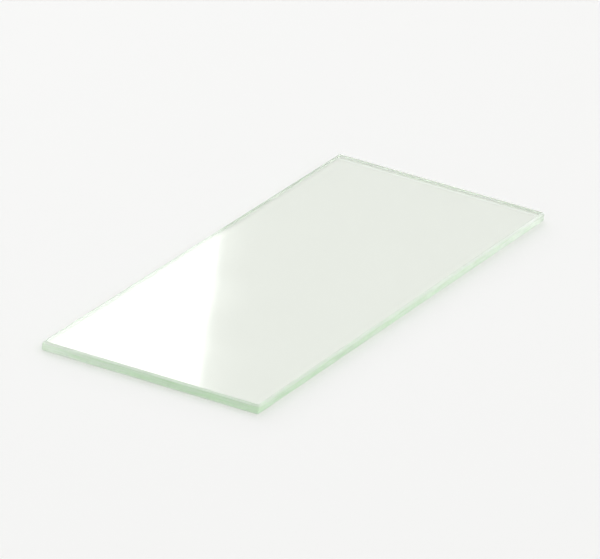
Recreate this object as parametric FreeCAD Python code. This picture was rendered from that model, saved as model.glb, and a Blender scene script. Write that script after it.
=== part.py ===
"""Plain microscope slide: one flat plate of clear glass with ground edges.

The plate is cut square, its four standing corners are dubbed round, and the
grinding leaves a flat matt land all the way round the edge, with a 45 degree
arris above it and another below it. The two broad faces stay as drawn, flat
and polished, and carry no frosted end and no marking.

The origin is at the middle of the underside. +X runs along the length, +Y
across the width and +Z up through the glass. All sizes are in millimetres.
"""

import FreeCAD, Part

import os

# The plate.
LENGTH = 76.2
WIDTH = 25.4
THICKNESS = 1.1

# The ground edge. The arris is 45 degrees, so its leg is the same on the broad
# face as on the land.
ARRIS_LEG = 0.2
FACE_CORNER_RADIUS = 0.1  # corner of the polished face, inside the arris

# The arris runs round the corners at its full leg, so the land turns them on a
# radius that is larger by that leg.
LAND_CORNER_RADIUS = FACE_CORNER_RADIUS + ARRIS_LEG


def is_standing(edge):
    """Tell whether an edge runs up through the glass, not round a broad face."""
    return edge.BoundBox.ZLength > THICKNESS / 2


def cut_plate():
    """Return the square-cut plate, centred on the origin, underside at z = 0."""
    near_corner = FreeCAD.Vector(-LENGTH / 2, -WIDTH / 2, 0)
    return Part.makeBox(LENGTH, WIDTH, THICKNESS, near_corner)


def dub_corners(plate):
    """Round the four standing corners of the plate."""
    standing = [edge for edge in plate.Edges if is_standing(edge)]
    return plate.makeFillet(LAND_CORNER_RADIUS, standing)


def grind_arrises(plate):
    """Take the arris off both broad faces, in one loop round each of them."""
    outlines = [edge for edge in plate.Edges if not is_standing(edge)]
    return plate.makeChamfer(ARRIS_LEG, outlines)


def build_slide():
    """Return the finished slide as one solid."""
    return grind_arrises(dub_corners(cut_plate()))


slide = build_slide()
os.makedirs("parts", exist_ok=True)
slide.exportStep("parts/glass_slide.step")
print(f"glass_slide: {slide.Volume:.2f} mm3, {len(slide.Faces)} faces, valid {slide.isValid()}")
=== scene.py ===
"""A plain microscope slide: one plate of clear glass with ground edges, lying flat on a pale floor.

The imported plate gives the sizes. The visible slide is built inside its box, with one glass for the whole
closed body: clear and polished on the broad faces, matt and fine-grained where the edge is ground. All
lengths are in metres unless a name says otherwise.
"""

import logging
import math
from dataclasses import dataclass
from enum import Enum

import bmesh
import bpy
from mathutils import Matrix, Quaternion, Vector


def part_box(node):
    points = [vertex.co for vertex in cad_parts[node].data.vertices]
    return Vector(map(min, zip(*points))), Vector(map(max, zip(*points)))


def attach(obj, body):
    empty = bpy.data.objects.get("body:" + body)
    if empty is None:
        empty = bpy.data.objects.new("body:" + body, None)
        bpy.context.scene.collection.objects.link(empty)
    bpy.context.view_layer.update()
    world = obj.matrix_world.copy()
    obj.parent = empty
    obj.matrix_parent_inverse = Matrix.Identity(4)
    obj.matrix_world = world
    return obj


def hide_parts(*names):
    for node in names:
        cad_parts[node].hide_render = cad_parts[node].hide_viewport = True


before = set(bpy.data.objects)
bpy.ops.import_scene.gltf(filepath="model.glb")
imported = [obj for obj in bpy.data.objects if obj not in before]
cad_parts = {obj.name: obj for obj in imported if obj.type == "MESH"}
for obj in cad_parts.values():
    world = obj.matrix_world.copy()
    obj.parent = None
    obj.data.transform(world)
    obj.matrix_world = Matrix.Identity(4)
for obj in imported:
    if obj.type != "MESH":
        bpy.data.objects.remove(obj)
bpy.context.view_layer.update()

LOG = logging.getLogger("slide")
MM = 0.001
UP = Vector((0, 0, 1))
BEARING = math.radians(21.6)  # the camera's level direction, from the slide's length towards its left
FLAT_CUT = 1  # how many segments make a bevel one flat
ROUND_PROFILE = 0.5  # the bevel profile that is an arc of a circle
NOISE_MIDDLE = 0.5
MIX_FIRST = 6  # the Mix node's colour sockets, which are told apart only by number
MIX_SECOND = 7
MIX_RESULT = 2
Colour = tuple[float, float, float]


def add_object(name: str, data: bpy.types.ID) -> bpy.types.Object:
    """Add an object to the scene.

    Args:
        name: Its name.
        data: Its mesh, lamp or camera.

    Returns:
        The object, at the origin.
    """
    made = bpy.data.objects.new(name, data)
    bpy.context.scene.collection.objects.link(made)
    return made


def add_body(name: str, shape: bmesh.types.BMesh, finish: bpy.types.Material) -> bpy.types.Object:
    """Add an object with a mesh of its own.

    Args:
        name: Its name.
        shape: Its shape, which is freed.
        finish: Its material.

    Returns:
        The object, at the origin.
    """
    data = bpy.data.meshes.new(name)
    shape.to_mesh(data)
    shape.free()
    data.materials.append(finish)
    return add_object(name, data)


def stand(thing: bpy.types.Object, place: Vector, sight: Vector, lean: float = 0.0) -> None:
    """Stand a lamp or a camera in its place and turn it.

    Args:
        thing: The lamp or the camera.
        place: Where it stands.
        sight: The direction in which it faces.
        lean: The angle by which it is then turned about its own axis.
    """
    thing.location = place
    thing.rotation_mode = "QUATERNION"
    thing.rotation_quaternion = sight.to_track_quat("-Z", "Y") @ Quaternion((0, 0, 1), lean)


class Output(Enum):
    """The output of a node that a wire is drawn from."""

    VALUE = "Value"
    RESULT = "Result"
    VECTOR = "Vector"
    NOISE = "Fac"
    OBJECT = "Object"
    NORMAL = "Normal"
    BSDF = "BSDF"
    SHADER = "Shader"
    VOLUME = "Volume"
    BACKGROUND = "Background"


class Aim(Enum):
    """How a lamp is turned."""

    AT_SLIDE = "straight at the slide"
    LEVEL = "upright, facing back along the camera's sight"


@dataclass(frozen=True)
class Grain:
    """The make-up of one noise pattern.

    Its cells are about 1 / scale across, and 1 / along times longer in the direction that it is drawn out.
    """

    scale: float
    along: float = 1.0
    detail: float = 2.0
    roughness: float = 0.5


@dataclass(frozen=True)
class Wire:
    """A node's output, wrapped so that maths on numbers can be written as Python expressions."""

    graph: "Graph"
    socket: bpy.types.NodeSocket

    def maths(self, operation: str, *values: "Wire | float") -> "Wire":
        """Return the result of a Math node with the given operation and inputs."""
        node = self.graph.add("ShaderNodeMath", {"operation": operation}, dict(enumerate(values)))
        return self.graph.wire(node, Output.VALUE)

    def __add__(self, other: "Wire | float") -> "Wire":
        """Return self + other."""
        return self.maths("ADD", self, other)

    def __radd__(self, other: float) -> "Wire":
        """Return other + self."""
        return self.maths("ADD", other, self)

    def __sub__(self, other: "Wire | float") -> "Wire":
        """Return self - other."""
        return self.maths("SUBTRACT", self, other)

    def __rsub__(self, other: float) -> "Wire":
        """Return other - self."""
        return self.maths("SUBTRACT", other, self)

    def __mul__(self, other: "Wire | float") -> "Wire":
        """Return self * other."""
        return self.maths("MULTIPLY", self, other)

    def __rmul__(self, other: float) -> "Wire":
        """Return other * self."""
        return self.maths("MULTIPLY", other, self)

    def __abs__(self) -> "Wire":
        """Return the absolute value."""
        return self.maths("ABSOLUTE", self)

    def least(self, other: "Wire | float") -> "Wire":
        """Return the smaller of self and other."""
        return self.maths("MINIMUM", self, other)

    def step(self, low: float, high: float) -> "Wire":
        """Rise smoothly from 0 to 1.

        Args:
            low: The value at which the rise starts.
            high: The value at which it ends.

        Returns:
            0 below low, 1 above high.
        """
        node = self.graph.add(
            "ShaderNodeMapRange",
            {"interpolation_type": "SMOOTHSTEP"},
            {"Value": self, "From Min": low, "From Max": high, "To Min": 0.0, "To Max": 1.0},
        )
        return self.graph.wire(node, Output.RESULT)


@dataclass(frozen=True)
class Place:
    """The shaded point in the piece's own frame, whole and as its three numbers."""

    point: Wire
    x: Wire
    y: Wire
    z: Wire


class Graph:
    """The node tree of a material or a world, emptied, with the one method that adds nodes to it."""

    def __init__(self, owner: bpy.types.Material | bpy.types.World) -> None:
        """Give the owner nodes, and empty its tree.

        Args:
            owner: The material or the world.
        """
        owner.use_nodes = True
        self.tree = owner.node_tree
        self.tree.nodes.clear()

    def add(
        self,
        kind: str,
        settings: dict[str, object] | None = None,
        sockets: dict[str | int, object] | None = None,
    ) -> bpy.types.Node:
        """Add one node.

        Args:
            kind: The node's type.
            settings: Its settings by name, which are set before its sockets.
            sockets: A value or a wire for each of its input sockets, by name or number.

        Returns:
            The node.
        """
        node = self.tree.nodes.new(kind)
        for name, value in (settings or {}).items():
            setattr(node, name, value)
        for key, value in (sockets or {}).items():
            self.feed(node.inputs[key], value)
        return node

    def feed(self, socket: bpy.types.NodeSocket, value: object) -> None:
        """Fill one input socket.

        Args:
            socket: The socket.
            value: A wire that is linked to it, or a value of its own.
        """
        if isinstance(value, Wire):
            self.tree.links.new(value.socket, socket)
        else:
            socket.default_value = value

    def wire(self, node: bpy.types.Node, output: Output) -> Wire:
        """Return one of a node's outputs as a wire."""
        return Wire(self, node.outputs[output.value])

    def place(self) -> Place:
        """Find the shaded point.

        Returns:
            The point, in the piece's own frame.
        """
        point = self.wire(self.add("ShaderNodeTexCoord"), Output.OBJECT)
        split = self.add("ShaderNodeSeparateXYZ", sockets={"Vector": point})
        return Place(point, *(Wire(self, split.outputs[axis]) for axis in "XYZ"))

    def noise(self, vector: Wire, grain: Grain) -> Wire:
        """Return noise from 0 to 1.

        Args:
            vector: Where the noise is read, with any drawing out already in it.
            grain: Its make-up.

        Returns:
            The noise.
        """
        node = self.add("ShaderNodeTexNoise", sockets={
            "Vector": vector,
            "Scale": grain.scale,
            "Detail": grain.detail,
            "Roughness": grain.roughness,
        })
        return self.wire(node, Output.NOISE)

    def vector(self, x: Wire | float, y: Wire | float, z: Wire | float) -> Wire:
        """Join three numbers into a vector."""
        node = self.add("ShaderNodeCombineXYZ", sockets={"X": x, "Y": y, "Z": z})
        return self.wire(node, Output.VECTOR)

    def blend(self, first: Colour | Wire, second: Colour | Wire, share: Wire) -> Wire:
        """Mix two colours.

        Args:
            first: The colour where share is 0.
            second: The colour where share is 1.
            share: How much of second there is.

        Returns:
            The mixed colour.
        """
        first, second = (pick if isinstance(pick, Wire) else (*pick, 1.0) for pick in (first, second))
        node = self.add(
            "ShaderNodeMix",
            {"data_type": "RGBA"},
            {"Factor": share, MIX_FIRST: first, MIX_SECOND: second},
        )
        return Wire(self, node.outputs[MIX_RESULT])


@dataclass(frozen=True)
class SlideGlass:
    """Soda-lime sheet glass whose broad faces are polished and whose edge is ground.

    One material covers the closed plate, so that its green absorption fills it. The wheel leaves fine
    streaks that run round the edge, and it leaves the arrises whiter than the land between them: there, a
    share of the surface scatters light as frost does. The reach of the chips along the arrises' rims and the
    softness of their lines are shares of the arris.
    """

    size: Vector
    arris: float
    clear: Colour = (0.982, 1.0, 0.966)
    land_deep: Colour = (0.8, 0.9, 0.77)
    land_pale: Colour = (1.0, 1.0, 1.0)
    frost_deep: Colour = (0.96, 0.98, 0.95)
    frost_pale: Colour = (1.0, 1.0, 1.0)
    ior: float = 1.52
    absorption: Colour = (0.16, 0.55, 0.10)
    density: float = 7.0
    haze: float = 0.07
    land_roughness: float = 0.8
    land_uneven: float = 0.3
    frost_roughness: float = 0.9
    frost_share: float = 0.4
    wave_height: float = 0.0025 * MM
    grit_height: float = 0.01 * MM
    rim_ragged: float = 0.3
    rim_soft: float = 0.08
    streak: Grain = Grain(scale=5200.0, along=0.05)
    streak_range: tuple[float, float] = (0.3, 0.7)
    grit: Grain = Grain(scale=9000.0, along=0.4, detail=3.0, roughness=0.6)
    ragged: Grain = Grain(scale=2600.0, detail=3.0, roughness=0.65)
    smear: Grain = Grain(scale=90.0, detail=3.0)
    wave: Grain = Grain(scale=110.0, along=0.35, detail=1.0)

    def material(self) -> bpy.types.Material:
        """Build the glass.

        Returns:
            The material, with its surface and its volume.
        """
        made = bpy.data.materials.new("slide_glass")
        graph = Graph(made)
        place = graph.place()
        ground = self.ground_share(graph, place)
        streak = self.round_edge(graph, place, self.streak).step(*self.streak_range)
        grit = self.round_edge(graph, place, self.grit)
        normal = self.relief(graph, place, ground, streak + grit)
        smear = graph.noise(place.point, self.smear)
        land_colour = graph.blend(self.land_deep, self.land_pale, streak)
        land_roughness = self.land_roughness + (grit - NOISE_MIDDLE) * self.land_uneven
        glass = graph.add("ShaderNodeBsdfPrincipled", sockets={
            "Base Color": graph.blend(self.clear, land_colour, ground),
            "Roughness": ground * land_roughness + (1 - ground) * smear * self.haze,
            "IOR": self.ior,
            "Transmission Weight": 1.0,
            "Normal": normal,
        })
        frost = graph.add("ShaderNodeBsdfPrincipled", sockets={
            "Base Color": graph.blend(self.frost_deep, self.frost_pale, grit),
            "Roughness": self.frost_roughness,
            "Normal": normal,
        })
        share = ground * self.slope_share(place) * self.frost_share
        layers = (share, graph.wire(glass, Output.BSDF), graph.wire(frost, Output.BSDF))
        surface = graph.add("ShaderNodeMixShader", sockets=dict(enumerate(layers)))
        tint = graph.add("ShaderNodeVolumeAbsorption", sockets={
            "Color": (*self.absorption, 1.0),
            "Density": self.density,
        })
        graph.add("ShaderNodeOutputMaterial", sockets={
            "Surface": graph.wire(surface, Output.SHADER),
            "Volume": graph.wire(tint, Output.VOLUME),
        })
        return made

    def ground_share(self, graph: Graph, place: Place) -> Wire:
        """Mark the ground edge.

        Args:
            graph: The material's graph.
            place: The shaded point.

        Returns:
            1 on the land and the arrises, with fine chips that reach into the polished faces, and 0 on the
            rest of those faces.
        """
        inset = (self.size.x / 2 - abs(place.x)).least(self.size.y / 2 - abs(place.y))
        chips = graph.noise(place.point, self.ragged) * (self.arris * self.rim_ragged)
        soft = self.arris * self.rim_soft
        return 1 - (inset - chips).step(self.arris - soft, self.arris + soft)

    def slope_share(self, place: Place) -> Wire:
        """Mark the arrises by their height.

        Args:
            place: The shaded point.

        Returns:
            1 at the height of either arris and 0 at the height of the land.
        """
        middle = self.size.z / 2
        land = middle - self.arris
        soft = self.arris * self.rim_soft
        return abs(place.z - middle).step(land - soft, land + soft)

    def round_edge(self, graph: Graph, place: Place, grain: Grain) -> Wire:
        """Return noise that is drawn out round the edge, the way that the wheel runs."""
        return graph.noise(graph.vector((place.x + place.y) * grain.along, 0.0, place.z), grain)

    def relief(self, graph: Graph, place: Place, ground: Wire, wheel_marks: Wire) -> Wire:
        """Raise the surface's fine relief.

        Args:
            graph: The material's graph.
            place: The shaded point.
            ground: 1 on the ground edge, 0 on the polished faces.
            wheel_marks: The height of the wheel's marks, from 0 to 2.

        Returns:
            The normal: marks on the ground edge, and the sheet's faint waves on the polished faces.
        """
        wave = graph.noise(graph.vector(place.x * self.wave.along, place.y, 0.0), self.wave)
        height = (1 - ground) * wave * self.wave_height + ground * wheel_marks * self.grit_height
        bump = graph.add("ShaderNodeBump", sockets={"Strength": 1.0, "Distance": 1.0, "Height": height})
        return graph.wire(bump, Output.NORMAL)


@dataclass(frozen=True)
class FloorPaint:
    """The pale, nearly matt surface that the slide lies on."""

    colour: Colour = (0.92, 0.92, 0.91)
    mottle: Colour = (0.94, 0.94, 0.93)
    roughness: float = 0.6
    specular: float = 0.2
    cloud: Grain = Grain(scale=6.0, detail=3.0)

    def material(self) -> bpy.types.Material:
        """Build the paint.

        Returns:
            The material.
        """
        made = bpy.data.materials.new("pale_floor")
        graph = Graph(made)
        cloud = graph.noise(graph.place().point, self.cloud)
        surface = graph.add("ShaderNodeBsdfPrincipled", sockets={
            "Base Color": graph.blend(self.colour, self.mottle, cloud),
            "Roughness": self.roughness,
            "Specular IOR Level": self.specular,
        })
        graph.add("ShaderNodeOutputMaterial", sockets={"Surface": graph.wire(surface, Output.BSDF)})
        return made


@dataclass
class GlassSlide:
    """The plate: its sizes, its mesh and its glass."""

    low: Vector
    high: Vector
    arris: float = 0.2 * MM
    land_corner: float = 0.3 * MM
    corner_segments: int = 6

    @property
    def size(self) -> Vector:
        """The plate's length, width and thickness."""
        return self.high - self.low

    @property
    def middle(self) -> Vector:
        """The middle of the plate."""
        return (self.low + self.high) / 2

    def build(self) -> bpy.types.Object:
        """Return the finished piece, shaped and dressed."""
        return add_body("clear_plate", self.shape(), SlideGlass(self.size, self.arris).material())

    def shape(self) -> bmesh.types.BMesh:
        """Cut the plate square, round its standing corners and grind its arrises.

        Returns:
            The closed plate.
        """
        mesh = bmesh.new()
        bmesh.ops.create_cube(mesh, size=1.0)
        bmesh.ops.scale(mesh, vec=self.size, verts=mesh.verts)
        bmesh.ops.translate(mesh, vec=self.middle, verts=mesh.verts)
        standing = [edge for edge in mesh.edges if self.rises(edge)]
        self.bevel(mesh, standing, self.land_corner, self.corner_segments)
        outlines = [edge for edge in mesh.edges if not self.rises(edge)]
        self.bevel(mesh, outlines, self.arris, FLAT_CUT)
        bmesh.ops.recalc_face_normals(mesh, faces=mesh.faces)
        return mesh

    def rises(self, edge: bmesh.types.BMEdge) -> bool:
        """Tell whether an edge runs up through the glass."""
        return abs(edge.verts[0].co.z - edge.verts[1].co.z) > self.size.z / 2

    def bevel(
        self, mesh: bmesh.types.BMesh, edges: list[bmesh.types.BMEdge], leg: float, segments: int
    ) -> None:
        """Take edges off the plate.

        Args:
            mesh: The plate.
            edges: The edges to take off.
            leg: How far the cut reaches on either side.
            segments: FLAT_CUT, or more for a round corner.
        """
        bmesh.ops.bevel(
            mesh, geom=edges, offset=leg, offset_type="OFFSET", affect="EDGES",
            segments=segments, profile=ROUND_PROFILE, material=-1, clamp_overlap=True,
        )


@dataclass(frozen=True)
class Lamp:
    """A rectangular lamp, placed from the slide's middle by how far it stands ahead, to the left and up.

    Its radiance is how bright its face looks, where 1 is white.
    """

    name: str
    ahead: float
    left: float
    up: float
    width: float
    height: float
    radiance: float
    aim: Aim = Aim.AT_SLIDE

    def hang(self, middle: Vector, ahead: Vector) -> None:
        """Hang the lamp.

        Args:
            middle: The slide's middle.
            ahead: The level direction in which the camera looks.
        """
        offset = ahead * self.ahead + UP.cross(ahead) * self.left + UP * self.up
        sight = -ahead if self.aim is Aim.LEVEL else -offset
        data = bpy.data.lights.new(self.name, "AREA")
        data.shape = "RECTANGLE"
        data.size = self.width
        data.size_y = self.height
        data.energy = self.radiance * self.width * self.height * math.pi
        stand(add_object(self.name, data), middle + offset, sight)


@dataclass
class Studio:
    """The floor, the sky and the lamps round the slide.

    The softbox stands upright beyond the slide's far end, where the top face mirrors it. Its right side is
    glare_edge to the left of the slide's middle, and draws the line between the bright part of the top face
    and the part that is seen through.
    """

    middle: Vector
    ahead: Vector
    floor_half: float = 6.0
    floor_gap: float = 0.01 * MM
    sky: Colour = (1.0, 1.0, 1.0)
    sky_strength: float = 0.675
    softbox_width: float = 1.2
    glare_edge: float = 17.7 * MM

    @property
    def lamps(self) -> tuple[Lamp, ...]:
        """The lamps, in the order in which they are hung."""
        side = self.softbox_width / 2 + self.glare_edge
        return (
            Lamp("overhead", ahead=0.2, left=0.35, up=2.0, width=3.0, height=3.0, radiance=0.3),
            Lamp("fill", ahead=0.0, left=-0.75, up=1.0, width=1.5, height=1.2, radiance=0.55),
            Lamp(
                "softbox", ahead=0.9, left=side, up=0.42, width=self.softbox_width, height=0.6,
                radiance=1.64, aim=Aim.LEVEL,
            ),
        )

    def build(self) -> None:
        """Lay the floor, set the sky and hang the lamps."""
        self.lay_floor()
        self.set_sky()
        for lamp in self.lamps:
            lamp.hang(self.middle, self.ahead)

    def lay_floor(self) -> None:
        """Lay the floor just under the plate."""
        mesh = bmesh.new()
        bmesh.ops.create_grid(mesh, x_segments=1, y_segments=1, size=self.floor_half)
        floor = add_body("floor", mesh, FloorPaint().material())
        floor.location.z = -self.floor_gap

    def set_sky(self) -> None:
        """Give the scene an even pale sky."""
        sky = bpy.data.worlds.new("sky")
        graph = Graph(sky)
        light = graph.add("ShaderNodeBackground", sockets={
            "Color": (*self.sky, 1.0),
            "Strength": self.sky_strength,
        })
        graph.add("ShaderNodeOutputWorld", sockets={"Surface": graph.wire(light, Output.BACKGROUND)})
        bpy.context.scene.world = sky


@dataclass
class Viewpoint:
    """The camera: a long lens that looks down over the slide's near end and leans a little to one side."""

    middle: Vector
    ahead: Vector
    elevation: float = math.radians(20.6)
    lean: float = math.radians(8.4)
    distance: float = 1.034
    lens_mm: float = 575.0
    nearest: float = 0.01
    farthest: float = 50.0

    def build(self) -> None:
        """Place the camera and make it the scene's."""
        sight = self.ahead * math.cos(self.elevation) - UP * math.sin(self.elevation)
        data = bpy.data.cameras.new("camera")
        data.lens = self.lens_mm
        data.clip_start = self.nearest
        data.clip_end = self.farthest
        camera = add_object("camera", data)
        stand(camera, self.middle - sight * self.distance, sight, self.lean)
        bpy.context.scene.camera = camera


def set_light_paths(bounces: int = 64) -> None:
    """Let light run far inside the plate, unblurred, so that the floor seen through it stays bright.

    Args:
        bounces: How many turns light may take, which is many between the plate's two faces.
    """
    cycles = bpy.context.scene.cycles
    cycles.max_bounces = bounces
    cycles.glossy_bounces = bounces
    cycles.transmission_bounces = bounces
    cycles.blur_glossy = 0.0


def set_plain_colours() -> None:
    """Show each colour about as it is written."""
    bpy.context.scene.view_settings.view_transform = "Standard"


def main() -> None:
    """Build the slide, the studio and the camera."""
    logging.basicConfig(level=logging.INFO, format="%(message)s")
    slide = GlassSlide(*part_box("glass_slide"))
    piece = slide.build()
    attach(piece, "root")
    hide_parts("glass_slide")
    LOG.info("%s: %d faces", piece.name, len(piece.data.polygons))
    ahead = Vector((math.cos(BEARING), math.sin(BEARING), 0))
    Studio(slide.middle, ahead).build()
    Viewpoint(slide.middle, ahead).build()
    set_light_paths()
    set_plain_colours()


if __name__ == "__main__":
    main()
